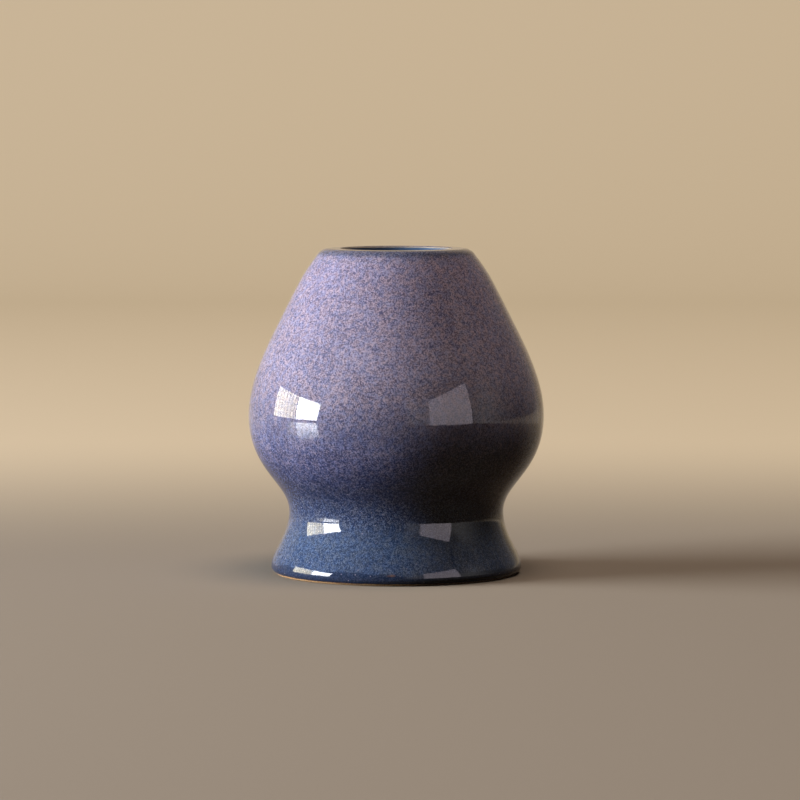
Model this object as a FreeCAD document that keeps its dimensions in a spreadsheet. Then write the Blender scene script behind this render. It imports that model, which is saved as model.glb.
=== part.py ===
"""Ceramic stand that keeps the shape of a bamboo tea whisk while it dries.

A stoneware vessel, pinched in above a flared foot and open at the top by a narrow mouth: the
whisk's inner tines go down into the mouth and its outer ones spread over the bulb.
The clay is one fired piece. Its glazes are coats of glass on it, each a solid of its own:
lavender over the bulb, blue from the undercurve to the foot, one lining the well and one under
the floor. Clay stays bare on the foot ring and in a hair line round the mouth.

Millimetres and degrees. The axis is Z, the table is z = 0 and the origin is the middle of the foot.
"""
import FreeCAD, Part
import os
import Sketcher

SIZES = {
    # Outside, over the glaze
    "overall_height": 70.0,
    "mouth_radius": 11.7,
    "land_width": 2.7,            # the flat top of the rim
    "shoulder_rounding": 3.1,
    "shoulder_turn": 53.5,        # turns are measured from level, down the outside
    "slope_turn": 63.4,
    "belly_radius": 31.8,
    "belly_height": 34.0,
    "waist_radius": 23.1,
    "waist_height": 13.3,
    "foot_radius": 27.0,
    "foot_height": 1.5,           # where the flare is widest
    "foot_rounding": 1.25,
    "foot_turn": 50.0,            # how far the rounding runs under before the glaze stops
    # Where the slope's place lies between shoulder and belly
    "slope_out_share": 0.571,
    "slope_down_share": 0.43,
    # How far a curve keeps to its tangent at each place, in its drop from place to place
    "shoulder_leaving_share": 0.34,
    "slope_arriving_share": 0.82,
    "slope_leaving_share": 0.33,
    "belly_arriving_share": 0.355,
    "belly_leaving_share": 0.57,
    "waist_arriving_share": 0.3,
    "waist_leaving_share": 0.44,
    "foot_arriving_share": 0.305,
    # Glaze coats
    "glaze_thickness": 0.5,
    "mouth_glaze": 0.12,          # the lavender coat where it has run thin beside the mouth
    "bare_mouth_line": 0.3,
    "lining_thickness": 0.3,
    # Foot ring and the recess inside it
    "ring_inset": 1.05,           # from the widest of the foot to the ring that stands on the table
    "ring_width": 4.15,
    "ring_bevel": 0.2,
    "recess_depth": 1.4,
    "recess_flare": 20.0,
    "recess_bevel": 0.5,
    "recess_glaze_margin": 0.9,
    "recess_glaze_bevel": 0.15,
    # Well
    "clay_wall": 3.5,
    "throat_depth": 3.0,
    "throat_rounding": 1.5,
    "heel_rounding": 4.0,
    "floor_thickness": 4.2,
}
MATCH_SHARE = 1e-5            # how near an edge lies to its place to count as the one meant, in heights
RADIAL_LINE, AXIS_LINE = -1, -2               # a sketch's own lines, by their numbers in constraints
ZERO = "0"
UP, OUT, DOWN, IN = "0", "90", "180", "270"    # the way a surface faces, as a turn from level ground

doc = FreeCAD.newDocument("tea_whisk_holder")
sheet = doc.addObject("Spreadsheet::Sheet", "sizes")
for row, (word, number) in enumerate(SIZES.items(), start=1):
    sheet.set(f"A{row}", word)
    sheet.set(f"B{row}", str(number))
    sheet.setAlias(f"B{row}", word)
doc.recompute()


def size(word):
    """Formula for one cell of the sheet."""
    return f"sizes.{word}"


def value(formula):
    """What a formula comes to now, for the first drawing that the constraints then hold."""
    return float(sheet.evalExpression(formula))


def vector(place):
    """A place is a pair of formulas: how far from the axis, and how high."""
    return FreeCAD.Vector(value(place[0]), value(place[1]), 0)


# Places on the lines of revolution

class Station:
    """A named place on a line of revolution: its radius, its height and the turn of the line there."""

    def __init__(self, name, radius, height, turn):
        self.name = name
        self.radius = radius
        self.height = height
        self.turn = turn

    def at(self, depth, down_the_line=ZERO):
        """The place this deep under the line and this far down its tangent."""
        sine, cosine = f"sin({self.turn})", f"cos({self.turn})"
        return (
            f"{self.radius} - ({depth}) * {sine} + {down_the_line} * {cosine}",
            f"{self.height} - ({depth}) * {cosine} - {down_the_line} * {sine}",
        )


def curve(upper, lower, depth, lower_depth=None):
    """The four poles of the curve from one station down to the next."""
    lower_depth = lower_depth or depth
    drop = f"({upper.height} - ({lower.height}))"
    leaving = f"{size(upper.name + '_leaving_share')} * {drop}"
    arriving = f"{size(lower.name + '_arriving_share')} * {drop}"
    return (
        upper.at(depth),
        upper.at(depth, leaving),
        lower.at(lower_depth, f"-1 * {arriving}"),
        lower.at(lower_depth),
    )


def midway(one, other):
    return tuple(f"(({a}) + ({b})) / 2" for a, b in zip(one, other))


def halves(poles):
    """A curve cut at its middle: the poles of the upper half and those of the lower."""
    first, second, third, fourth = poles
    start, centre, end = midway(first, second), midway(second, third), midway(third, fourth)
    before, after = midway(start, centre), midway(centre, end)
    meeting = midway(before, after)
    return (first, start, before, meeting), (meeting, after, end, fourth)


def reverse(poles):
    return tuple(reversed(poles))


def round_place(centre, radius, facing):
    """Where a rounding about a centre faces the given way."""
    return (f"{centre[0]} + ({radius}) * sin({facing})", f"{centre[1]} + ({radius}) * cos({facing})")


TOP = size("overall_height")
LAND_EDGE = f"({size('mouth_radius')} + {size('land_width')})"
SHOULDER_CENTRE = (LAND_EDGE, f"{TOP} - {size('shoulder_rounding')}")
FOOT_CENTRE = (f"{size('foot_radius')} - {size('foot_rounding')}", size("foot_height"))
GLAZE_LINE = f"({OUT} + {size('foot_turn')})"
RING = f"({size('foot_radius')} - {size('ring_inset')})"
BARE_EDGE = f"({size('mouth_radius')} + {size('bare_mouth_line')})"
CLAY_TOP = f"({TOP} - {size('mouth_glaze')})"

# The outside, from the rim down
SHOULDER = Station(
    "shoulder", *round_place(SHOULDER_CENTRE, size("shoulder_rounding"), size("shoulder_turn")),
    size("shoulder_turn"))
BELLY = Station("belly", size("belly_radius"), size("belly_height"), OUT)
SLOPE = Station(
    "slope",
    f"{SHOULDER.radius} + {size('slope_out_share')} * ({BELLY.radius} - ({SHOULDER.radius}))",
    f"{SHOULDER.height} - {size('slope_down_share')} * ({SHOULDER.height} - {BELLY.height})",
    size("slope_turn"))
WAIST = Station("waist", size("waist_radius"), size("waist_height"), OUT)
FOOT = Station("foot", size("foot_radius"), size("foot_height"), OUT)

# The well follows the outside at the wall's depth. Its top is the end of the rounding under the
# throat, which leaves as the shoulder does.
WALL = f"({size('glaze_thickness')} + {size('clay_wall')})"
FLOOR = f"({size('recess_depth')} + {size('floor_thickness')})"
THROAT_CENTRE = (
    f"{size('mouth_radius')} + {size('throat_rounding')}", f"{TOP} - {size('throat_depth')}")
THROAT_END = f"({DOWN} + {size('shoulder_turn')})"
THROAT = Station(
    "shoulder", *round_place(THROAT_CENTRE, size("throat_rounding"), THROAT_END),
    size("shoulder_turn"))
HEEL_CENTRE = (
    f"{WAIST.radius} - {WALL} - {size('heel_rounding')}", f"{FLOOR} + {size('heel_rounding')}")

SURFACE, CLAY = ZERO, size("glaze_thickness")          # depths under the outside
WELL_CLAY, LINED = ZERO, size("lining_thickness")      # depths into the well


# Drawing sections

def origin_plane(body, role):
    return next(plane for plane in body.Origin.OriginFeatures if plane.Role == role)


class Section:
    """One closed section, drawn stretch by stretch in a sketch whose places follow their formulas."""

    def __init__(self, body, name, start):
        self.sketch = body.newObject("Sketcher::SketchObject", name)
        self.sketch.AttachmentSupport = [(origin_plane(body, "XZ_Plane"), "")]
        self.sketch.MapMode = "FlatFace"
        self.start = start
        self.here = start
        self.first_end = None
        self.last_end = None

    def follow(self, kind, formula, *ends):
        """A constraint whose number follows a formula."""
        index = self.sketch.addConstraint(Sketcher.Constraint(kind, *ends, value(formula)))
        self.sketch.setExpression(f"Constraints[{index}]", formula)

    def pin(self, end, place):
        """Ties one end of a stretch, or a pole, to its place."""
        if place[0] == ZERO:
            self.sketch.addConstraint(Sketcher.Constraint("PointOnObject", *end, AXIS_LINE))
        else:
            self.follow("DistanceX", place[0], -1, 1, *end)
        if place[1] == ZERO:
            self.sketch.addConstraint(Sketcher.Constraint("PointOnObject", *end, RADIAL_LINE))
        else:
            self.follow("DistanceY", place[1], -1, 1, *end)

    def meet(self, near_end, far_end, place):
        """Carries the section on from its last end to the far end of the new stretch."""
        if self.last_end is None:
            self.first_end = near_end
            self.pin(near_end, self.start)
        else:
            self.sketch.addConstraint(Sketcher.Constraint("Coincident", *self.last_end, *near_end))
        if place == self.start:
            self.sketch.addConstraint(Sketcher.Constraint("Coincident", *far_end, *self.first_end))
        else:
            self.pin(far_end, place)
        self.last_end = far_end
        self.here = place

    def line(self, place):
        item = self.sketch.addGeometry(Part.LineSegment(vector(self.here), vector(place)))
        self.meet((item, 1), (item, 2), place)

    def curve(self, poles):
        """A smooth stretch that leaves and arrives along its outer poles."""
        degree = len(poles) - 1
        spline = Part.BSplineCurve()
        spline.buildFromPolesMultsKnots(
            [vector(pole) for pole in poles], [degree + 1, degree + 1], [0, 1], False, degree)
        item = self.sketch.addGeometry(spline)
        self.sketch.exposeInternalGeometry(item)
        for number, pole in enumerate(poles[1:-1], start=2):
            self.pin((item + number, 3), pole)
        self.meet((item, 1), (item, 2), poles[-1])

    def rounding(self, centre, radius, facing, end_facing):
        """A round stretch, from facing one way to facing another. Its ends and radius hold it."""
        halfway = round_place(centre, radius, f"({facing} + {end_facing}) / 2")
        end = round_place(centre, radius, end_facing)
        arc = Part.Arc(vector(self.here), vector(halfway), vector(end))
        item = self.sketch.addGeometry(arc)

        def from_here(end):
            return self.sketch.getPoint(item, end).distanceToPoint(vector(self.here))

        near, far = sorted((1, 2), key=from_here)
        self.follow("Radius", radius, item)
        self.meet((item, near), (item, far), end)

    def close(self):
        self.line(self.start)


# Features

def new_body(name):
    body = doc.addObject("PartDesign::Body", name)
    body.Label = name
    body.Placement = FreeCAD.Placement()
    return body


def turn_about_axis(body, kind, name, section):
    """A Revolution or a Groove: the section carried all the way round the axis."""
    feature = body.newObject(f"PartDesign::{kind}", name)
    feature.Profile = (section.sketch, [""])
    feature.ReferenceAxis = (section.sketch, ["V_Axis"])
    feature.Angle = 360
    section.sketch.Visibility = False
    doc.recompute()
    return feature


def circles_at(feature, *places):
    """Names of the feature's round edges at these places."""
    wanted = [(value(radius), value(height)) for radius, height in places]
    near = value(TOP) * MATCH_SHARE
    names = []
    for number, edge in enumerate(feature.Shape.Edges, start=1):
        if not isinstance(edge.Curve, Part.Circle):
            continue
        for radius, height in wanted:
            if abs(edge.Curve.Radius - radius) < near and abs(edge.Curve.Center.z - height) < near:
                names.append(f"Edge{number}")
    return names


def bevel_edges(body, name, feature, width, *places):
    chamfer = body.newObject("PartDesign::Chamfer", name)
    chamfer.Base = (feature, circles_at(feature, *places))
    chamfer.setExpression("Size", width)
    doc.recompute()
    return chamfer


# Pieces

def down_the_bulb(section, depth):
    """From the outer edge of the rim's flat top to the belly."""
    radius = f"{size('shoulder_rounding')} - {depth}"
    section.rounding(SHOULDER_CENTRE, radius, UP, size("shoulder_turn"))
    section.curve(curve(SHOULDER, SLOPE, depth))
    section.curve(curve(SLOPE, BELLY, depth))


def up_the_bulb(section, depth):
    section.curve(reverse(curve(SLOPE, BELLY, depth)))
    section.curve(reverse(curve(SHOULDER, SLOPE, depth)))
    radius = f"{size('shoulder_rounding')} - {depth}"
    section.rounding(SHOULDER_CENTRE, radius, size("shoulder_turn"), UP)


def down_the_foot(section, depth):
    """From the waist to the line where the glaze stops."""
    section.curve(curve(WAIST, FOOT, depth))
    section.rounding(FOOT_CENTRE, f"{size('foot_rounding')} - {depth}", OUT, GLAZE_LINE)


def up_the_foot(section, depth):
    section.rounding(FOOT_CENTRE, f"{size('foot_rounding')} - {depth}", GLAZE_LINE, OUT)
    section.curve(reverse(curve(WAIST, FOOT, depth)))


def undercurve(depth):
    """The curve from the belly in to the waist, in two halves. The outer glazes meet between them."""
    return halves(curve(BELLY, WAIST, depth))


def well_curves(depth):
    """From under the throat to the waist, each stretch as its poles."""
    under_wall = f"{WALL} + {depth}"
    return (
        curve(THROAT, SLOPE, depth, under_wall),
        curve(SLOPE, BELLY, under_wall),
        curve(BELLY, WAIST, under_wall),
    )


def down_the_well(section, depth):
    """From under the throat to the flat of the floor."""
    for poles in well_curves(depth):
        section.curve(poles)
    section.line(round_place(HEEL_CENTRE, f"{size('heel_rounding')} - {depth}", OUT))
    section.rounding(HEEL_CENTRE, f"{size('heel_rounding')} - {depth}", OUT, DOWN)


def up_the_well(section, depth):
    section.line(round_place(HEEL_CENTRE, f"{size('heel_rounding')} - {depth}", DOWN))
    section.rounding(HEEL_CENTRE, f"{size('heel_rounding')} - {depth}", DOWN, OUT)
    section.line(WAIST.at(f"{WALL} + {depth}"))
    for poles in reversed(well_curves(depth)):
        section.curve(reverse(poles))


def make_stoneware_body():
    """The fired clay: turned outside, hollow, with a ring to stand on and a shallow recess inside it."""
    body = new_body("stoneware_body")
    outside = Section(body, "clay_outside", (ZERO, ZERO))
    outside.line((ZERO, CLAY_TOP))
    outside.line((BARE_EDGE, CLAY_TOP))
    outside.line(round_place(SHOULDER_CENTRE, f"{size('shoulder_rounding')} - {CLAY}", UP))
    down_the_bulb(outside, CLAY)
    for half in undercurve(CLAY):
        outside.curve(half)
    down_the_foot(outside, CLAY)
    outside.line((RING, ZERO))
    outside.close()
    form = turn_about_axis(body, "Revolution", "clay_form", outside)

    hollow = Section(body, "well_section", (ZERO, CLAY_TOP))
    hollow.line((size("mouth_radius"), CLAY_TOP))
    hollow.line((size("mouth_radius"), THROAT_CENTRE[1]))
    hollow.rounding(THROAT_CENTRE, size("throat_rounding"), IN, THROAT_END)
    down_the_well(hollow, WELL_CLAY)
    hollow.line((ZERO, FLOOR))
    hollow.close()
    well = turn_about_axis(body, "Groove", "well", hollow)

    ring_inside = f"{RING} - {size('ring_width')}"
    ceiling_edge = f"{ring_inside} - {size('recess_depth')} * tan({size('recess_flare')})"
    under = Section(body, "recess_section", (ZERO, ZERO))
    under.line((ring_inside, ZERO))
    under.line((ceiling_edge, size("recess_depth")))
    under.line((ZERO, size("recess_depth")))
    under.close()
    recess = turn_about_axis(body, "Groove", "recess", under)
    assert form.Shape.Volume > well.Shape.Volume > recess.Shape.Volume, "a groove cut nothing"

    ring_edges = (ring_inside, ZERO), (RING, ZERO)
    ring = bevel_edges(body, "ring_bevel", recess, size("ring_bevel"), *ring_edges)
    bevel_edges(body, "recess_bevel", ring, size("recess_bevel"), (ceiling_edge, size("recess_depth")))
    return body


def make_lavender_glaze():
    """The upper coat: over the rim and the bulb, thinned towards the mouth."""
    body = new_body("lavender_glaze")
    coat = Section(body, "lavender_section", (BARE_EDGE, TOP))
    coat.line((LAND_EDGE, TOP))
    down_the_bulb(coat, SURFACE)
    outer, inner = undercurve(SURFACE)[0], undercurve(CLAY)[0]
    coat.curve(outer)
    coat.line(inner[-1])
    coat.curve(reverse(inner))
    up_the_bulb(coat, CLAY)
    coat.line((BARE_EDGE, CLAY_TOP))
    coat.close()
    turn_about_axis(body, "Revolution", "lavender_coat", coat)
    return body


def make_blue_glaze():
    """The lower coat: from the undercurve over the waist and the flared foot."""
    body = new_body("blue_glaze")
    outer, inner = undercurve(SURFACE)[1], undercurve(CLAY)[1]
    coat = Section(body, "blue_section", outer[0])
    coat.curve(outer)
    down_the_foot(coat, SURFACE)
    coat.line(round_place(FOOT_CENTRE, f"{size('foot_rounding')} - {CLAY}", GLAZE_LINE))
    up_the_foot(coat, CLAY)
    coat.curve(reverse(inner))
    coat.close()
    turn_about_axis(body, "Revolution", "blue_coat", coat)
    return body


def make_well_glaze():
    """The lining that lets the well be rinsed: from under the throat down over the floor."""
    body = new_body("well_glaze")
    coat = Section(body, "lining_section", (ZERO, FLOOR))
    up_the_well(coat, WELL_CLAY)
    coat.line(THROAT.at(LINED))
    down_the_well(coat, LINED)
    coat.line((ZERO, f"{FLOOR} + {LINED}"))
    coat.close()
    turn_about_axis(body, "Revolution", "lining_coat", coat)
    return body


def make_recess_glaze():
    """The disc of glaze under the floor, wiped back from the ring."""
    body = new_body("recess_glaze")
    disc = body.newObject("PartDesign::AdditiveCylinder", "recess_coat")
    disc.AttachmentSupport = [(origin_plane(body, "XY_Plane"), "")]
    disc.MapMode = "FlatFace"
    disc.setExpression("AttachmentOffset.Base.z", f"{size('recess_depth')} - {size('lining_thickness')}")
    disc.setExpression("Height", size("lining_thickness"))
    radius = (
        f"{RING} - {size('ring_width')} - {size('recess_depth')} * tan({size('recess_flare')})"
        f" - {size('recess_glaze_margin')}")
    disc.setExpression("Radius", radius)
    doc.recompute()
    lower_edge = (radius, f"{size('recess_depth')} - {size('lining_thickness')}")
    bevel_edges(body, "coat_bevel", disc, size("recess_glaze_bevel"), lower_edge)
    return body


def check_and_write(bodies):
    """Every object is sound and every piece is one valid solid before any file is written."""
    doc.recompute()
    for item in doc.Objects:
        faults = {"Invalid", "Error"} & set(item.State)
        assert not faults, f"{item.Label}: {faults}"
    for body in bodies:
        shape = body.Shape
        assert not shape.isNull() and shape.isValid() and len(shape.Solids) == 1, body.Label
        print(f"{body.Label}: {shape.Volume:.1f} cubic mm, box {shape.BoundBox}")
    for body in bodies:
        body.Shape.exportStep(f"parts/{body.Label}.step")


os.makedirs("parts", exist_ok=True)
check_and_write([
    make_stoneware_body(),
    make_lavender_glaze(),
    make_blue_glaze(),
    make_well_glaze(),
    make_recess_glaze(),
])
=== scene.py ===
"""Looks of the tea whisk holder: its clay, its glazes, the light and the camera. Metres."""

import math

import bmesh
import bpy
from mathutils import Matrix, Vector


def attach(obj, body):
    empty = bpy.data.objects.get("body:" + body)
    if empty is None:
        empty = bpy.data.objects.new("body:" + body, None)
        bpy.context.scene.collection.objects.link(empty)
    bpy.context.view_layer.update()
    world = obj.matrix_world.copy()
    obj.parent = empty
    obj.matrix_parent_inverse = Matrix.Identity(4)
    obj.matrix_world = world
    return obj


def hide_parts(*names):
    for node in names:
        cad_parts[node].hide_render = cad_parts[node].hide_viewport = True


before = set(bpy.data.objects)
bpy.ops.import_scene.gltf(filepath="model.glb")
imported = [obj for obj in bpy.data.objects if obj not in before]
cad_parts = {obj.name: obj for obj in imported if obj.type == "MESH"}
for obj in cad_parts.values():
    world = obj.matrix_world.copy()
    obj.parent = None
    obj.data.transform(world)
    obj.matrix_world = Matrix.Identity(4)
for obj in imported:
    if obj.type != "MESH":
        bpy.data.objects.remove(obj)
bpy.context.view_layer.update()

MM = 0.001
UP, OUT, DOWN, IN = (math.radians(turn) for turn in (0, 90, 180, 270))

# Outside, over the glaze
HEIGHT = 70.0 * MM
MOUTH_RADIUS = 11.7 * MM
LAND_WIDTH = 2.7 * MM
SHOULDER_ROUNDING = 3.1 * MM
SHOULDER_TURN = math.radians(53.5)
SLOPE_TURN = math.radians(63.4)
BELLY_RADIUS = 31.8 * MM
BELLY_HEIGHT = 34.0 * MM
WAIST_RADIUS = 23.1 * MM
WAIST_HEIGHT = 13.3 * MM
FOOT_RADIUS = 27.0 * MM
FOOT_HEIGHT = 1.5 * MM
FOOT_ROUNDING = 1.25 * MM
FOOT_TURN = math.radians(50.0)

# Where the slope's station lies, from the shoulder's to the belly's
SLOPE_OUT_SHARE = 0.571
SLOPE_DOWN_SHARE = 0.43

# How far the poles of each curve reach from its stations, as shares of the drop between them
SHOULDER_LEAVING_SHARE = 0.34
SLOPE_ARRIVING_SHARE = 0.82
SLOPE_LEAVING_SHARE = 0.33
BELLY_ARRIVING_SHARE = 0.355
BELLY_LEAVING_SHARE = 0.57
WAIST_ARRIVING_SHARE = 0.3
WAIST_LEAVING_SHARE = 0.44
FOOT_ARRIVING_SHARE = 0.24            # a little under the solid's: the highlight on the foot shows it

# Glaze coats, bare lines and the ring
GLAZE = 0.5 * MM
MOUTH_GLAZE = 0.12 * MM
BARE_MOUTH_LINE = 0.3 * MM
LINING = 0.3 * MM
LIP = 0.22 * MM                       # how round the clay's edge at the mouth is worn
BEAD = 0.2 * MM                       # how round the glaze ends above the ring
RING_INSET = 1.05 * MM
RING_WIDTH = 4.15 * MM
RING_BEVEL = 0.2 * MM
RECESS_DEPTH = 1.4 * MM
RECESS_FLARE = math.radians(20.0)
RECESS_BEVEL = 0.5 * MM
RECESS_MARGIN = 0.9 * MM
RECESS_GLAZE_BEVEL = 0.15 * MM
MEETING_SHARE = 0.5                   # how far down the undercurve the two coats meet

# Well
CLAY_WALL = 3.5 * MM
THROAT_DEPTH = 3.0 * MM
THROAT_ROUNDING = 1.5 * MM
HEEL_ROUNDING = 4.0 * MM
FLOOR_THICKNESS = 4.2 * MM

# How finely the pieces are divided
POINT_GAP = 0.75 * MM
TURN_GAP = math.radians(5.0)
SECTORS = 360
CREASE = math.radians(28.0)           # an edge that turns more than this is sharp
SAME = 0.001 * MM                     # points nearer than this are one


# Lines of revolution

class Station:
    """A place on a line of revolution: its radius, its height and the turn of the line there."""

    def __init__(self, radius, height, turn, arriving_share=0.0, leaving_share=0.0):
        self.radius = radius
        self.height = height
        self.turn = turn
        self.arriving_share = arriving_share
        self.leaving_share = leaving_share

    def at(self, depth, down_the_line=0.0):
        """The place this deep under the line and this far down its tangent."""
        sine, cosine = math.sin(self.turn), math.cos(self.turn)
        return (
            self.radius - depth * sine + down_the_line * cosine,
            self.height - depth * cosine - down_the_line * sine,
        )


def round_place(centre, radius, facing):
    return (centre[0] + radius * math.sin(facing), centre[1] + radius * math.cos(facing))


def rounding(centre, radius, facing, end_facing):
    """Points round a centre, from facing one way to facing another."""
    steps = max(2, math.ceil(abs(end_facing - facing) / TURN_GAP))
    turn = (end_facing - facing) / steps
    return [round_place(centre, radius, facing + step * turn) for step in range(steps + 1)]


def curve(upper, lower, depth, lower_depth=None):
    """The four poles of the curve from one station down to the next."""
    lower_depth = depth if lower_depth is None else lower_depth
    drop = upper.height - lower.height
    return (
        upper.at(depth),
        upper.at(depth, upper.leaving_share * drop),
        lower.at(lower_depth, -lower.arriving_share * drop),
        lower.at(lower_depth),
    )


def blend(one, other, share):
    return tuple(a + (b - a) * share for a, b in zip(one, other))


def on_curve(poles, share):
    """The place this far along a curve."""
    while len(poles) > 1:
        poles = [blend(one, other, share) for one, other in zip(poles, poles[1:])]
    return poles[0]


def along(poles, start=0.0, end=1.0):
    """Points on a curve, from one share of it to another."""
    length = sum(math.dist(one, other) for one, other in zip(poles, poles[1:]))
    steps = max(2, math.ceil(length * (end - start) / POINT_GAP))
    return [on_curve(poles, start + (end - start) * step / steps) for step in range(steps + 1)]


LAND_EDGE = MOUTH_RADIUS + LAND_WIDTH
SHOULDER_CENTRE = (LAND_EDGE, HEIGHT - SHOULDER_ROUNDING)
SHOULDER_END = round_place(SHOULDER_CENTRE, SHOULDER_ROUNDING, SHOULDER_TURN)
SHOULDER = Station(*SHOULDER_END, SHOULDER_TURN, leaving_share=SHOULDER_LEAVING_SHARE)
BELLY = Station(BELLY_RADIUS, BELLY_HEIGHT, OUT, BELLY_ARRIVING_SHARE, BELLY_LEAVING_SHARE)
SLOPE = Station(
    SHOULDER.radius + SLOPE_OUT_SHARE * (BELLY.radius - SHOULDER.radius),
    SHOULDER.height - SLOPE_DOWN_SHARE * (SHOULDER.height - BELLY.height),
    SLOPE_TURN, SLOPE_ARRIVING_SHARE, SLOPE_LEAVING_SHARE)
WAIST = Station(WAIST_RADIUS, WAIST_HEIGHT, OUT, WAIST_ARRIVING_SHARE, WAIST_LEAVING_SHARE)
FOOT = Station(FOOT_RADIUS, FOOT_HEIGHT, OUT, FOOT_ARRIVING_SHARE)
FOOT_CENTRE = (FOOT_RADIUS - FOOT_ROUNDING, FOOT_HEIGHT)
GLAZE_LINE = OUT + FOOT_TURN
WALL = GLAZE + CLAY_WALL
FLOOR = RECESS_DEPTH + FLOOR_THICKNESS
CLAY_TOP = HEIGHT - MOUTH_GLAZE
RING = FOOT_RADIUS - RING_INSET
THROAT_CENTRE = (MOUTH_RADIUS + THROAT_ROUNDING, HEIGHT - THROAT_DEPTH)
THROAT_END = DOWN + SHOULDER_TURN
THROAT = Station(
    *round_place(THROAT_CENTRE, THROAT_ROUNDING, THROAT_END), SHOULDER_TURN,
    leaving_share=SHOULDER_LEAVING_SHARE)
HEEL_CENTRE = (WAIST_RADIUS - WALL - HEEL_ROUNDING, FLOOR + HEEL_ROUNDING)


def down_the_bulb(depth):
    return (
        rounding(SHOULDER_CENTRE, SHOULDER_ROUNDING - depth, UP, SHOULDER_TURN)
        + along(curve(SHOULDER, SLOPE, depth))
        + along(curve(SLOPE, BELLY, depth)))


def undercurve(depth, start=0.0, end=1.0):
    return along(curve(BELLY, WAIST, depth), start, end)


def down_the_foot(depth):
    return (
        along(curve(WAIST, FOOT, depth))
        + rounding(FOOT_CENTRE, FOOT_ROUNDING - depth, OUT, GLAZE_LINE))


def down_the_well(depth):
    under_wall = WALL + depth
    return (
        along(curve(THROAT, SLOPE, depth, under_wall))
        + along(curve(SLOPE, BELLY, under_wall))
        + undercurve(under_wall)
        + rounding(HEEL_CENTRE, HEEL_ROUNDING - depth, OUT, DOWN))


# Meshes

def tidied(line):
    """The line without points that repeat the one before."""
    kept = []
    for point in line:
        if not kept or math.dist(point, kept[-1]) > SAME:
            kept.append(point)
    if math.dist(kept[0], kept[-1]) <= SAME:
        kept.pop()
    return kept


def ring_of(mesh, radius, height):
    """A circle of vertices, or one where the line meets the axis."""
    if radius < SAME:
        return [mesh.verts.new((0.0, 0.0, height))]
    turns = (math.tau * sector / SECTORS for sector in range(SECTORS))
    return [mesh.verts.new((radius * math.cos(a), radius * math.sin(a), height)) for a in turns]


def bridge(mesh, upper, lower):
    """Faces from one ring to the next, where either may be a single vertex."""
    for sector in range(SECTORS):
        following = (sector + 1) % SECTORS
        if len(upper) == 1:
            corners = (upper[0], lower[sector], lower[following])
        elif len(lower) == 1:
            corners = (upper[sector], lower[0], upper[following])
        else:
            corners = (upper[sector], lower[sector], lower[following], upper[following])
        mesh.faces.new(corners)


def turned_piece(name, line, material, slot, *nodes):
    """A closed piece made by carrying its section round the axis, in place of CAD nodes."""
    mesh = bmesh.new()
    rings = [ring_of(mesh, *point) for point in tidied(line)]
    for upper, lower in zip(rings, rings[1:]):
        bridge(mesh, upper, lower)
    if len(rings[0]) > 1 and len(rings[-1]) > 1:
        bridge(mesh, rings[-1], rings[0])
    bmesh.ops.recalc_face_normals(mesh, faces=mesh.faces)
    data = bpy.data.meshes.new(name)
    mesh.to_mesh(data)
    mesh.free()
    data.shade_smooth()
    data.set_sharp_from_angle(angle=CREASE)
    data.materials.append(material)
    piece = bpy.data.objects.new(name, data)
    bpy.context.scene.collection.objects.link(piece)
    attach(piece, "root")
    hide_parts(*nodes)


# Nodes of materials and lamps

DOT_CORE_SHARE = 0.4                  # how much of a dot is at full strength

# How a screen's channel stands for light: in line with it when dark, and else by a power
FULL_CHANNEL = 255
DARK_LIMIT, DARK_SLOPE = 0.04045, 12.92
LIGHT_OFFSET, LIGHT_POWER = 0.055, 2.4


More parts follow.
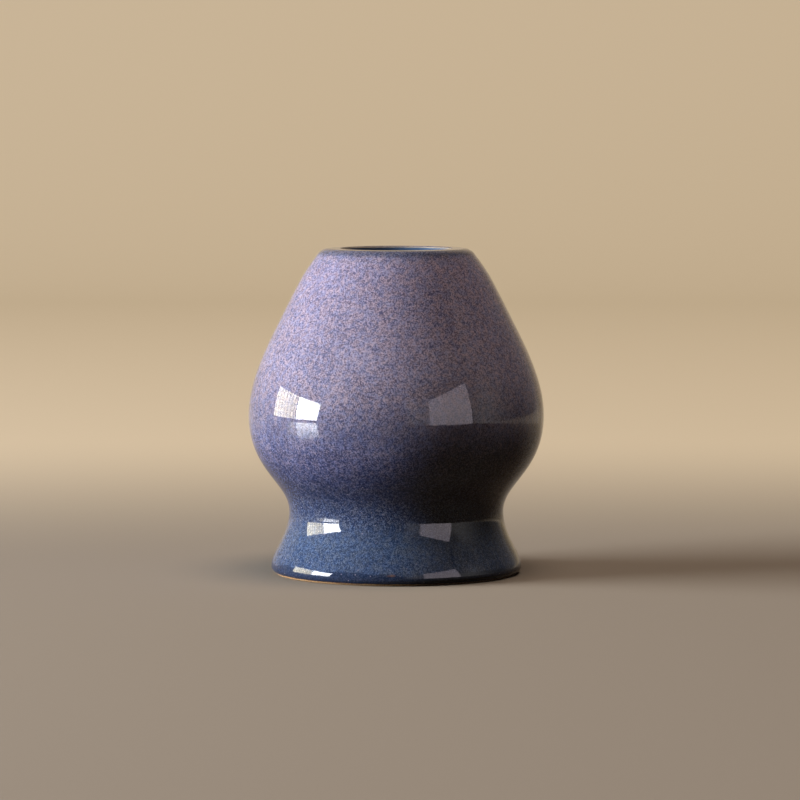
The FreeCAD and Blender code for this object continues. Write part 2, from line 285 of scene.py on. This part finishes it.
class Weave:
    """Builds the node tree of a material or a lamp with plain calls."""

    def __init__(self, owner):
        self.owner = owner
        self.owner.use_nodes = True
        self.tree = self.owner.node_tree
        self.tree.nodes.clear()

    def add(self, kind, inputs=(), **settings):
        node = self.tree.nodes.new(kind)
        for setting, choice in settings.items():
            setattr(node, setting, choice)
        for socket, source in dict(inputs).items():
            self.feed(node.inputs[socket], source)
        return node

    def feed(self, socket, source):
        if isinstance(source, bpy.types.NodeSocket):
            self.tree.links.new(source, socket)
        else:
            socket.default_value = source

    def math(self, operation, *values):
        return self.add("ShaderNodeMath", enumerate(values), operation=operation).outputs[0]

    def product(self, *values):
        total = values[0]
        for number in values[1:]:
            total = self.math("MULTIPLY", total, number)
        return total

    def vector_math(self, operation, *values):
        return self.add("ShaderNodeVectorMath", enumerate(values), operation=operation).outputs

    def parts(self, place):
        """A place's three numbers."""
        return self.add("ShaderNodeSeparateXYZ", {"Vector": place}).outputs

    def step(self, number, low, high):
        """0 under low, 1 over high and smooth between."""
        node = self.add(
            "ShaderNodeMapRange",
            {"Value": number, "From Min": low, "From Max": high},
            interpolation_type="SMOOTHSTEP")
        return node.outputs["Result"]

    def mix(self, share, one, other, blend_type="MIX"):
        node = self.add("ShaderNodeMix", data_type="RGBA", blend_type=blend_type)
        self.feed(node.inputs["Factor"], share)
        colour_inputs = [socket for socket in node.inputs if socket.type == "RGBA"]
        self.feed(colour_inputs[0], one)
        self.feed(colour_inputs[1], other)
        return next(socket for socket in node.outputs if socket.type == "RGBA")

    def times(self, one, other):
        return self.mix(1.0, one, other, "MULTIPLY")

    def noise(self, place, grain, detail=2.0, roughness=0.5):
        """Noise whose grains are about this long."""
        node = self.add(
            "ShaderNodeTexNoise",
            {"Vector": place, "Scale": 1.0 / grain, "Detail": detail, "Roughness": roughness})
        return node.outputs["Fac"]

    def dots(self, place, cell, radius):
        """1 inside sparse round dots, one or none to a cell."""
        node = self.add("ShaderNodeTexVoronoi", {"Vector": place, "Scale": 1.0 / cell})
        return self.step(node.outputs["Distance"], radius / cell, DOT_CORE_SHARE * radius / cell)

    def join(self, share, one, other):
        """A shader that goes from one shader to another."""
        node = self.add("ShaderNodeMixShader", {"Fac": share})
        self.feed(node.inputs[1], one.outputs[0])
        self.feed(node.inputs[2], other.outputs[0])
        return node

    def finish(self, surface, kind="ShaderNodeOutputMaterial"):
        self.add(kind, {"Surface": surface.outputs[0]})
        return self.owner


def linear(red, green, blue):
    """A colour as a painter's program shows it, turned into light."""
    def light(channel):
        share = channel / FULL_CHANNEL
        if share <= DARK_LIMIT:
            return share / DARK_SLOPE
        return ((share + LIGHT_OFFSET) / (1.0 + LIGHT_OFFSET)) ** LIGHT_POWER

    return (light(red), light(green), light(blue), 1.0)


def tones(weave, height, stops):
    """A colour that goes from tone to tone with height. The stops are in order of height."""
    node = weave.add("ShaderNodeValToRGB", {"Fac": weave.math("DIVIDE", height, HEIGHT)})
    ramp = node.color_ramp
    ramp.interpolation = "EASE"
    for stop in stops[1:-1]:
        ramp.elements.new(stop[0] / HEIGHT)
    for element, (stop_height, colour) in zip(ramp.elements, stops):
        element.position = stop_height / HEIGHT
        element.color = colour
    return node.outputs["Color"]


# The outer glazes: one glassy layer whose mean tone goes with height, broken into fine specks

# Under the belly, from 26 mm down to 15 mm, the tones are partly the glaze's own indigo and partly
# painted shade: kept darker to make up for the light the pale floor throws up there
TONES = (
    (0.2 * MM, linear(36, 45, 74)),
    (1.6 * MM, linear(56, 70, 98)),
    (3.2 * MM, linear(65, 81, 111)),
    (8.0 * MM, linear(68, 84, 113)),
    (12.0 * MM, linear(65, 79, 108)),
    (15.0 * MM, linear(60, 73, 103)),
    (19.0 * MM, linear(56, 65, 95)),
    (22.5 * MM, linear(63, 71, 105)),
    (26.0 * MM, linear(76, 82, 116)),
    (30.0 * MM, linear(93, 97, 129)),
    (35.0 * MM, linear(111, 110, 135)),
    (40.0 * MM, linear(127, 123, 145)),
    (46.0 * MM, linear(135, 131, 155)),
    (66.5 * MM, linear(137, 132, 158)),
    (68.4 * MM, linear(130, 128, 154)),
    (69.2 * MM, linear(92, 96, 118)),
)

# Where the foot's specks turn into the bulb's, and where the bulb's turn into the undercurve's
FOOT_TONES, UNDER_TONES = (10.5 * MM, 15.0 * MM), (33.0 * MM, 23.0 * MM)

# What dark and light specks multiply the tone by
BULB_DARK, BULB_LIGHT = (0.35, 0.37, 0.46, 1.0), (1.66, 1.64, 1.54, 1.0)
UNDER_DARK, UNDER_LIGHT = (0.34, 0.41, 0.54, 1.0), (3.9, 3.25, 2.5, 1.0)
FOOT_DARK, FOOT_LIGHT = (0.52, 0.57, 0.64, 1.0), (2.40, 2.16, 1.84, 1.0)
SPECK_MIDDLE, SPECK_SOFTNESS = 0.5, 0.19
SPARSE, FOOT_SPARSE = 0.10, 0.05      # how much rarer light specks are underneath and on the foot

# The sizes of grain that make up the specks, and the share of each
FINE_GRAIN, CELL, COARSE_GRAIN, CLOUD = 0.18 * MM, 0.17 * MM, 0.8 * MM, 7.5 * MM
CELL_SHARE, FINE_SHARE, COARSE_SHARE, CLOUD_SHARE = 0.34, 0.34, 0.20, 0.12
SPECK_DETAIL = 1.0
SPECK_STRETCH = (1.0, 1.0, 0.8)       # under 1, the specks are drawn out that way

# The hues that the tone drifts between
COOL, WARM = (0.88, 0.94, 1.03, 1.0), (1.16, 1.05, 0.95, 1.0)
HUE_GRAIN, HUE_SHARES = 1.15 * MM, (0.36, 0.64)

# How far the clouds lift and lower the tones, and where they start to, over the foot and under the rim
CLOUD_LIFT, CLOUD_MEAN = 3.5 * MM, 0.5
OVER_FOOT, UNDER_RIM = (5.0 * MM, 16.0 * MM), (66.0 * MM, 58.0 * MM)

# Dark glaze that gathered in drips above the ring, and a scar in it
DRIP, DRIP_SHARE = linear(30, 40, 64), 0.6
DRIP_TOP, DRIP_DROP, DRIP_LENGTH, DRIP_EDGE = 2.6 * MM, 2.6 * MM, 7.0 * MM, 0.25 * MM
SCAR, SCAR_SHARE, SCAR_GRAIN, SCAR_FADE = linear(128, 100, 86), 0.8, 0.6 * MM, (1.4, 0.6)
SCAR_PLACE, SCAR_REACH = (-0.9 * MM, -26.8 * MM, 2.3 * MM), (1.3 * MM, 1.5 * MM, 0.45 * MM)

PALE_SPECK, PALE_SPECK_SHARE = linear(226, 210, 222), 0.35
PALE_SPECK_GAP, PALE_SPECK_RADIUS = 1.5 * MM, 0.16 * MM
PINHOLE, PINHOLE_SHARE = linear(24, 26, 44), 0.75
PINHOLE_GAP, PINHOLE_RADIUS = 4.6 * MM, 0.24 * MM

PEEL, PEEL_DEPTH = 2.2 * MM, 0.002 * MM      # the faint waves in the gloss
GLAZE_ROUGHNESS = 0.035
GLAZE_IOR = 1.30


def glaze_surface(weave, colour):
    return weave.add(
        "ShaderNodeBsdfPrincipled",
        {"Base Color": colour, "Roughness": GLAZE_ROUGHNESS, "IOR": GLAZE_IOR})


def speck_signal(weave, place, cloud):
    """Grains of several sizes added up, from about 0 to about 1."""
    flow = weave.add("ShaderNodeMapping", {"Vector": place, "Scale": SPECK_STRETCH}).outputs[0]
    cells = weave.add("ShaderNodeTexVoronoi", {"Vector": flow, "Scale": 1.0 / CELL}).outputs["Color"]
    cells = weave.add("ShaderNodeSeparateColor", {"Color": cells}).outputs[0]
    signal = weave.math("MULTIPLY", cells, CELL_SHARE)
    for grains, share in (
            (weave.noise(flow, FINE_GRAIN, SPECK_DETAIL), FINE_SHARE),
            (weave.noise(place, COARSE_GRAIN, SPECK_DETAIL), COARSE_SHARE),
            (cloud, CLOUD_SHARE)):
        signal = weave.math("MULTIPLY_ADD", grains, share, signal)
    return signal


def specked_tone(weave, place, height):
    """The tone of each height, drifting in clouds and broken into dark and light specks."""
    cloud = weave.noise(place, CLOUD)
    free = weave.product(weave.step(height, *OVER_FOOT), weave.step(height, *UNDER_RIM))
    drift = weave.product(weave.math("SUBTRACT", cloud, CLOUD_MEAN), free)
    tone = tones(weave, weave.math("MULTIPLY_ADD", drift, CLOUD_LIFT, height), TONES)

    bulb = weave.step(height, *FOOT_TONES)
    under = weave.product(bulb, weave.step(height, *UNDER_TONES))
    middle = weave.math("MULTIPLY_ADD", bulb, -FOOT_SPARSE, SPECK_MIDDLE + FOOT_SPARSE)
    middle = weave.math("MULTIPLY_ADD", under, SPARSE, middle)
    specks = weave.step(
        speck_signal(weave, place, cloud),
        weave.math("SUBTRACT", middle, SPECK_SOFTNESS),
        weave.math("ADD", middle, SPECK_SOFTNESS))
    dark = weave.mix(under, weave.mix(bulb, FOOT_DARK, BULB_DARK), UNDER_DARK)
    light = weave.mix(under, weave.mix(bulb, FOOT_LIGHT, BULB_LIGHT), UNDER_LIGHT)
    hue = weave.step(weave.noise(place, HUE_GRAIN), *HUE_SHARES)
    colour = weave.times(tone, weave.mix(specks, dark, light))
    return weave.times(colour, weave.mix(hue, COOL, WARM))


def with_drips(weave, place, height, colour):
    """Darkens the glaze under a wandering line."""
    wander = weave.noise(place, DRIP_LENGTH)
    top = weave.math("MULTIPLY_ADD", wander, -DRIP_DROP, DRIP_TOP + DRIP_DROP / 2)
    drips = weave.step(weave.math("SUBTRACT", height, top), DRIP_EDGE, -DRIP_EDGE)
    return weave.mix(weave.product(drips, DRIP_SHARE), colour, DRIP)


def with_scar(weave, place, colour):
    away = weave.vector_math("SUBTRACT", place, SCAR_PLACE)["Vector"]
    away = weave.vector_math("DIVIDE", away, SCAR_REACH)["Vector"]
    away = weave.vector_math("LENGTH", away)["Value"]
    scar = weave.step(weave.math("ADD", away, weave.noise(place, SCAR_GRAIN)), *SCAR_FADE)
    return weave.mix(weave.product(scar, SCAR_SHARE), colour, SCAR)


def with_dots(weave, place, colour):
    """Sparse pale specks and dark pinholes."""
    for gap, radius, share, tone in (
            (PALE_SPECK_GAP, PALE_SPECK_RADIUS, PALE_SPECK_SHARE, PALE_SPECK),
            (PINHOLE_GAP, PINHOLE_RADIUS, PINHOLE_SHARE, PINHOLE)):
        colour = weave.mix(weave.product(weave.dots(place, gap, radius), share), colour, tone)
    return colour


def make_outer_glaze():
    weave = Weave(bpy.data.materials.new("speckled_glaze"))
    place = weave.add("ShaderNodeTexCoord").outputs["Object"]
    height = weave.parts(place)["Z"]
    colour = specked_tone(weave, place, height)
    colour = with_drips(weave, place, height, colour)
    colour = with_scar(weave, place, colour)
    surface = glaze_surface(weave, with_dots(weave, place, colour))
    bump = weave.add(
        "ShaderNodeBump",
        {"Height": weave.noise(place, PEEL), "Distance": PEEL_DEPTH, "Strength": 1.0})
    weave.feed(surface.inputs["Normal"], bump.outputs["Normal"])
    return weave.finish(surface)


# The glaze of the well and of the recess, and the clay

LINING_LIGHT, LINING_DARK = linear(70, 86, 124), linear(44, 58, 94)
RECESS_LIGHT, RECESS_DARK = linear(60, 78, 118), linear(36, 50, 84)
MOTTLE, MOTTLE_DETAIL = 2.5 * MM, 3.0
BLOTCH_SHARES = (0.35, 0.65)
CLAY_LIGHT, CLAY_DARK = linear(198, 160, 116), linear(150, 112, 74)
GRIT, GRIT_DETAIL, GRIT_ROUGHNESS = 0.25 * MM, 3.0, 0.6
LIP_CLAY, THROAT_FILM = linear(168, 158, 140), linear(80, 100, 128)
FILM_START = (60.0 * MM, 62.0 * MM)
FILM_END = (CLAY_TOP - 0.25 * MM, CLAY_TOP - 0.1 * MM)
CLAY_ROUGHNESS, FILM_ROUGHNESS = 0.62, 0.07


def make_plain_glaze(name, light, dark):
    weave = Weave(bpy.data.materials.new(name))
    place = weave.add("ShaderNodeTexCoord").outputs["Object"]
    mottle = weave.step(weave.noise(place, MOTTLE, MOTTLE_DETAIL), *BLOTCH_SHARES)
    return weave.finish(glaze_surface(weave, weave.mix(mottle, dark, light)))


def make_clay():
    """Buff clay, pale at the lip, with a film of glaze on the cut wall of the throat."""
    weave = Weave(bpy.data.materials.new("buff_clay"))
    place = weave.add("ShaderNodeTexCoord").outputs["Object"]
    height = weave.parts(place)["Z"]
    grit = weave.step(weave.noise(place, GRIT, GRIT_DETAIL, GRIT_ROUGHNESS), *BLOTCH_SHARES)
    tone = weave.mix(grit, CLAY_DARK, CLAY_LIGHT)
    high = weave.step(height, *FILM_START)
    film = weave.product(high, weave.math("SUBTRACT", 1.0, weave.step(height, *FILM_END)))
    tone = weave.mix(high, tone, LIP_CLAY)
    tone = weave.mix(film, tone, THROAT_FILM)
    roughness = weave.math("MULTIPLY_ADD", film, FILM_ROUGHNESS - CLAY_ROUGHNESS, CLAY_ROUGHNESS)
    return weave.finish(weave.add(
        "ShaderNodeBsdfPrincipled", {"Base Color": tone, "Roughness": roughness, "IOR": GLAZE_IOR}))


# Pieces

def clay_section():
    """The fired clay, from the middle of the underside round the outside and down into the well."""
    ring_inside = RING - RING_WIDTH
    ceiling_edge = ring_inside - RECESS_DEPTH * math.tan(RECESS_FLARE)
    lean = (math.sin(RECESS_FLARE), math.cos(RECESS_FLARE))
    glaze_end = round_place(FOOT_CENTRE, FOOT_ROUNDING - GLAZE, GLAZE_LINE)
    underside = [
        (0.0, RECESS_DEPTH),
        (ceiling_edge - RECESS_BEVEL, RECESS_DEPTH),
        (ceiling_edge + RECESS_BEVEL * lean[0], RECESS_DEPTH - RECESS_BEVEL * lean[1]),
        (ring_inside - RING_BEVEL * lean[0], RING_BEVEL * lean[1]),
        (ring_inside + RING_BEVEL, 0.0),
        (RING - RING_BEVEL, 0.0),
        blend((RING, 0.0), glaze_end, RING_BEVEL / math.dist((RING, 0.0), glaze_end)),
    ]
    outside = down_the_bulb(GLAZE) + undercurve(GLAZE) + down_the_foot(GLAZE)
    lip_centre = (MOUTH_RADIUS + LIP, CLAY_TOP - LIP)
    throat = rounding(lip_centre, LIP, UP, -OUT) + rounding(
        THROAT_CENTRE, THROAT_ROUNDING, IN, THROAT_END)
    return underside + outside[::-1] + throat + down_the_well(0.0) + [(0.0, FLOOR)]


def lavender_section():
    edge = MOUTH_RADIUS + BARE_MOUTH_LINE
    outside = [(edge, CLAY_TOP), (edge + MOUTH_GLAZE, HEIGHT)] + down_the_bulb(0.0)
    outside += undercurve(0.0, end=MEETING_SHARE)
    inside = down_the_bulb(GLAZE) + undercurve(GLAZE, end=MEETING_SHARE)
    return outside + inside[::-1]


def blue_section():
    outside = undercurve(0.0, start=MEETING_SHARE) + along(curve(WAIST, FOOT, 0.0))
    outside += rounding(FOOT_CENTRE, FOOT_ROUNDING, OUT, GLAZE_LINE)
    bead_centre = round_place(FOOT_CENTRE, FOOT_ROUNDING - BEAD, GLAZE_LINE)
    bead = rounding(bead_centre, BEAD, GLAZE_LINE, GLAZE_LINE + OUT)
    inside = undercurve(GLAZE, start=MEETING_SHARE) + down_the_foot(GLAZE)
    return outside[:-1] + bead + inside[::-1]


def lining_section():
    face = down_the_well(LINING)[::-1]
    return [(0.0, FLOOR + LINING)] + face + down_the_well(0.0) + [(0.0, FLOOR)]


def recess_section():
    ceiling_edge = RING - RING_WIDTH - RECESS_DEPTH * math.tan(RECESS_FLARE)
    edge = ceiling_edge - RECESS_MARGIN
    return [
        (0.0, RECESS_DEPTH),
        (edge, RECESS_DEPTH),
        (edge, RECESS_DEPTH - LINING + RECESS_GLAZE_BEVEL),
        (edge - RECESS_GLAZE_BEVEL, RECESS_DEPTH - LINING),
        (0.0, RECESS_DEPTH - LINING),
    ]


def make_pieces():
    outer = make_outer_glaze()
    lining = make_plain_glaze("lining_glaze", LINING_LIGHT, LINING_DARK)
    under = make_plain_glaze("recess_glaze_blue", RECESS_LIGHT, RECESS_DARK)
    clay = make_clay()
    turned_piece("clay_body", clay_section(), clay, "bare_stoneware", "stoneware_body")
    turned_piece("lavender_coat", lavender_section(), outer, "lavender_glaze", "lavender_glaze")
    turned_piece("blue_coat", blue_section(), outer, "blue_glaze", "blue_glaze")
    turned_piece("well_lining", lining_section(), lining, "lining_glaze", "well_glaze")
    turned_piece("recess_coat", recess_section(), under, "blue_glaze", "recess_glaze")


# Floor and backdrop. X runs away from the window and Y away from the camera

STUDIO_HALF = 2.6
STUDIO_FRONT, STUDIO_BACK = -3.0, 1.1
SWEEP_RADIUS, SWEEP_TOP, SWEEP_STEPS = 0.6, 2.6, 24
PALE = linear(157, 149, 136)
BOUNCE = linear(52, 38, 28)           # what the floor throws back on the object
WHITE = (1.0, 1.0, 1.0, 1.0)

# The studio glows where it is far from a place before the object, and less to the right
BACKDROP, GLOW = linear(225, 200, 160), 0.5
GLOW_CENTRE = (0.0, -0.55, 0.0)
GLOW_START, GLOW_FULL = 0.57, 0.90
GLOW_RIGHT, GLOW_END = 0.5, 1.5

# The floor darkens towards the window
WINDOW_SHADE, SHADE_START, SHADE_FULL = (0.12, 0.12, 0.12, 1.0), -0.35, -1.0

# In reflections the floor has a satin varnish between the object and the window
FLOOR_IOR, SATIN, SATIN_ROUGHNESS = 1.5, 0.72, 0.12
VARNISH_BACK, VARNISH_FRONT = 0.01, -0.03
VARNISH_NEAR, VARNISH_FAR, VARNISH_FADE = -0.11, -0.62, 0.04


def make_studio_material():
    """Pale to the camera and in reflections. It throws back less light than it shows."""
    weave = Weave(bpy.data.materials.new("pale_studio"))
    rays = weave.add("ShaderNodeLightPath").outputs
    seen = weave.math("MAXIMUM", rays["Is Camera Ray"], rays["Is Glossy Ray"])
    seen = weave.math("MAXIMUM", seen, rays["Is Transmission Ray"])
    place = weave.add("ShaderNodeTexCoord").outputs["Object"]
    side, depth = weave.parts(place)[:2]

    shade = weave.mix(weave.step(side, SHADE_FULL, SHADE_START), WINDOW_SHADE, WHITE)
    pale = weave.add("ShaderNodeBsdfDiffuse", {"Color": weave.times(shade, PALE)})
    thrown = weave.add("ShaderNodeBsdfDiffuse", {"Color": weave.times(shade, BOUNCE)})

    away = weave.vector_math("DISTANCE", place, GLOW_CENTRE)["Value"]
    strength = weave.product(
        weave.step(away, GLOW_START, GLOW_FULL), GLOW, weave.step(side, GLOW_END, GLOW_RIGHT))
    glow = weave.add("ShaderNodeEmission", {"Color": BACKDROP, "Strength": strength})

    satin = weave.add("ShaderNodeBsdfGlossy", {"Color": WHITE, "Roughness": SATIN_ROUGHNESS})
    graze = weave.product(
        weave.add("ShaderNodeFresnel", {"IOR": FLOOR_IOR}).outputs[0],
        rays["Is Glossy Ray"],
        weave.step(depth, VARNISH_BACK, VARNISH_FRONT),
        weave.step(side, VARNISH_FAR - VARNISH_FADE, VARNISH_FAR),
        weave.step(side, VARNISH_NEAR + VARNISH_FADE, VARNISH_NEAR - VARNISH_FADE),
        SATIN)

    shown = weave.add("ShaderNodeAddShader")
    weave.feed(shown.inputs[0], weave.join(graze, pale, satin).outputs[0])
    weave.feed(shown.inputs[1], glow.outputs[0])
    return weave.finish(weave.join(seen, thrown, shown))


def make_studio():
    """A floor that sweeps up into a backdrop."""
    line = [(STUDIO_FRONT, 0.0), (STUDIO_BACK, 0.0)]
    for step in range(1, SWEEP_STEPS + 1):
        turn = OUT * step / SWEEP_STEPS
        line.append((
            STUDIO_BACK + SWEEP_RADIUS * math.sin(turn),
            SWEEP_RADIUS - SWEEP_RADIUS * math.cos(turn)))
    line.append((STUDIO_BACK + SWEEP_RADIUS, SWEEP_TOP))
    mesh = bmesh.new()
    rows = [
        [mesh.verts.new((side, depth, height)) for side in (-STUDIO_HALF, STUDIO_HALF)]
        for depth, height in line]
    for near, far in zip(rows, rows[1:]):
        mesh.faces.new((near[0], near[1], far[1], far[0]))
    data = bpy.data.meshes.new("studio_sweep")
    mesh.to_mesh(data)
    mesh.free()
    data.shade_smooth()
    data.materials.append(make_studio_material())
    studio = bpy.data.objects.new("studio_sweep", data)
    bpy.context.scene.collection.objects.link(studio)


# Lamps. What the glaze mirrors and what lights the object are set apart

WINDOW_DISTANCE, WINDOW_FACING = 1.2, (1.0, 0.0, 0.0)
WINDOW_BOTTOM, WINDOW_TOP = 0.028, 0.362
WHITE_PANE, CURTAIN_PANE = (-0.66, -0.14), (-0.12, 0.41)
DAYLIGHT, CREAM = (0.95, 0.97, 1.0), (1.0, 0.92, 0.68)
WHITE_RADIANCE, CURTAIN_RADIANCE = 62.0, 18.5
FOLDS, BARS, FOLD_SHARE, BAR_SHARE = 7, 4, 0.45, 0.15
LEAN_SHARE = 0.12                     # how far the white pane's edge leans in, of its width

# A second window, in front and to the right
FAR_PLACE, FAR_FACING, FAR_SIZE = (0.364, -0.400, 0.1645), (-1.01, 1.11, 0.0), (0.338, 0.319)
FAR_COLOUR, FAR_RADIANCE = (1.0, 0.86, 0.98), 3.8
SHORT_SIDE_SHARE = 0.70               # how high its short side is, of the other

# Walls that the glaze mirrors, and how they dim upwards and to the back
SIDE_PLACE, SIDE_FACING, SIDE_SIZE = (0.5, -0.08, 0.3), (-0.7, -0.6, 0.0), (0.92, 0.6)
SIDE_COLOUR, SIDE_RADIANCE = (1.0, 0.95, 0.93), 1.25
FRONT_PLACE, FRONT_FACING, FRONT_SIZE = (0.536, -0.767, 0.479), (-1.49, 2.13, 0.0), (0.947, 0.958)
FRONT_COLOUR, FRONT_RADIANCE = (1.0, 0.95, 0.95), 1.15
WALL_TOP_SHARE, WALL_BACK_SHARE = 0.30, 0.12
FRONT_FADE_SHARES, SIDE_FADE_SHARES, BACK_FADE_SHARES = (0.2, 0.6), (0.25, 0.65), (0.30, 0.78)

# What lights the clay, the floor and the colour of the glaze
KEY_PLACE, KEY_FACING, KEY_SIZE = (-1.21, -0.20, 0.30), (1.21, 0.20, -0.26), (0.8, 0.5)
KEY_COLOUR, KEY_RADIANCE = (0.97, 0.97, 1.0), 28.2
FILL_PLACE, FILL_FACING, FILL_SIZE = (0.305, -0.341, 2.18), (-0.305, 0.341, -2.15), (1.4, 1.2)
FILL_COLOUR, FILL_RADIANCE = (1.0, 0.80, 0.68), 4.35
ROOM_COLOUR, ROOM_STRENGTH = (1.0, 0.82, 0.70, 1.0), 0.015


def make_pane(name, centre, facing, size, colour, radiance, dress=None, mirrored=True):
    """A soft light as large as a window pane or a wall, either mirrored or lighting the object."""
    width, height = size
    lamp = bpy.data.lights.new(name, "AREA")
    lamp.shape = "RECTANGLE"
    lamp.size = width
    lamp.size_y = height
    lamp.color = colour
    lamp.energy = radiance * math.pi * width * height
    if dress:
        dress(Weave(lamp))
    pane = bpy.data.objects.new(name, lamp)
    forward = Vector(facing).normalized()
    across = forward.cross(Vector((0.0, 0.0, 1.0))).normalized()
    up = across.cross(forward)
    turn = Matrix((across, up, -forward)).transposed().to_4x4()
    pane.matrix_world = Matrix.Translation(centre) @ turn
    pane.visible_camera = False
    pane.visible_diffuse = not mirrored
    pane.visible_glossy = mirrored
    bpy.context.scene.collection.objects.link(pane)


def over_pane(weave):
    """How far across and how far up the pane a place is, from 0 to 1."""
    return weave.parts(weave.add("ShaderNodeNewGeometry").outputs["Parametric"])[:2]


def shine(weave, strength):
    weave.finish(weave.add("ShaderNodeEmission", {"Strength": strength}), "ShaderNodeOutputLight")


def hang_curtain(weave):
    """Breaks the pane's light with the folds of a thin curtain and the bars behind it."""
    across, up = over_pane(weave)
    folds = weave.math("COSINE", weave.product(across, math.tau * FOLDS))
    bars = weave.math("COSINE", weave.product(up, math.tau * BARS))
    strength = weave.math("MULTIPLY_ADD", bars, BAR_SHARE, 1.0)
    shine(weave, weave.math("MULTIPLY_ADD", folds, FOLD_SHARE, strength))


def lean_edge(weave):
    """Cuts a slanting edge on the pane, as of something that leans in the window."""
    across, up = over_pane(weave)
    edge = weave.math("MULTIPLY_ADD", up, LEAN_SHARE, 1.0 - LEAN_SHARE)
    shine(weave, weave.math("LESS_THAN", across, edge))


def slant_top(weave):
    """Cuts the pane's top on a slant."""
    across, up = over_pane(weave)
    top = weave.math("MULTIPLY_ADD", across, 1.0 - SHORT_SIDE_SHARE, SHORT_SIDE_SHARE)
    shine(weave, weave.math("LESS_THAN", up, top))


def fade(weave, number, limits, least):
    """1 before the limits, the least share after them."""
    before, after = limits
    return weave.math("MULTIPLY_ADD", weave.step(number, after, before), 1.0 - least, least)


def dim_front_wall(weave):
    shine(weave, fade(weave, over_pane(weave)[1], FRONT_FADE_SHARES, WALL_TOP_SHARE))


def dim_side_wall(weave):
    across, up = over_pane(weave)
    upwards = fade(weave, up, SIDE_FADE_SHARES, WALL_TOP_SHARE)
    shine(weave, weave.product(upwards, fade(weave, across, BACK_FADE_SHARES, WALL_BACK_SHARE)))


def make_window():
    middle = (WINDOW_BOTTOM + WINDOW_TOP) / 2
    tall = WINDOW_TOP - WINDOW_BOTTOM
    for name, (near, far), colour, radiance, dress in (
            ("white_pane", WHITE_PANE, DAYLIGHT, WHITE_RADIANCE, lean_edge),
            ("curtain_pane", CURTAIN_PANE, CREAM, CURTAIN_RADIANCE, hang_curtain)):
        centre = (-WINDOW_DISTANCE, (near + far) / 2, middle)
        make_pane(name, centre, WINDOW_FACING, (far - near, tall), colour, radiance, dress)


def make_lights():
    make_window()
    make_pane("far_window", FAR_PLACE, FAR_FACING, FAR_SIZE, FAR_COLOUR, FAR_RADIANCE, slant_top)
    make_pane(
        "side_wall", SIDE_PLACE, SIDE_FACING, SIDE_SIZE, SIDE_COLOUR, SIDE_RADIANCE, dim_side_wall)
    make_pane(
        "front_wall", FRONT_PLACE, FRONT_FACING, FRONT_SIZE, FRONT_COLOUR, FRONT_RADIANCE,
        dim_front_wall)
    make_pane("key_light", KEY_PLACE, KEY_FACING, KEY_SIZE, KEY_COLOUR, KEY_RADIANCE, mirrored=False)
    make_pane(
        "fill_light", FILL_PLACE, FILL_FACING, FILL_SIZE, FILL_COLOUR, FILL_RADIANCE, mirrored=False)
    world = bpy.data.worlds.new("room")
    world.use_nodes = True
    background = world.node_tree.nodes["Background"]
    background.inputs["Color"].default_value = ROOM_COLOUR
    background.inputs["Strength"].default_value = ROOM_STRENGTH
    bpy.context.scene.world = world


CAMERA_PLACE = (0.0008, -0.906, 0.1064)
CAMERA_PITCH = math.radians(4.3627)
CAMERA_LENS = 189.79
CAMERA_SENSOR = 36.0
CAMERA_NEAR = 0.01


def make_camera():
    lens = bpy.data.cameras.new("camera")
    lens.lens = CAMERA_LENS
    lens.sensor_width = CAMERA_SENSOR
    lens.clip_start = CAMERA_NEAR
    camera = bpy.data.objects.new("camera", lens)
    camera.location = CAMERA_PLACE
    camera.rotation_euler = (OUT - CAMERA_PITCH, 0.0, 0.0)
    bpy.context.scene.collection.objects.link(camera)
    bpy.context.scene.camera = camera


bpy.context.scene.view_settings.view_transform = "Standard"
make_pieces()
make_studio()
make_lights()
make_camera()
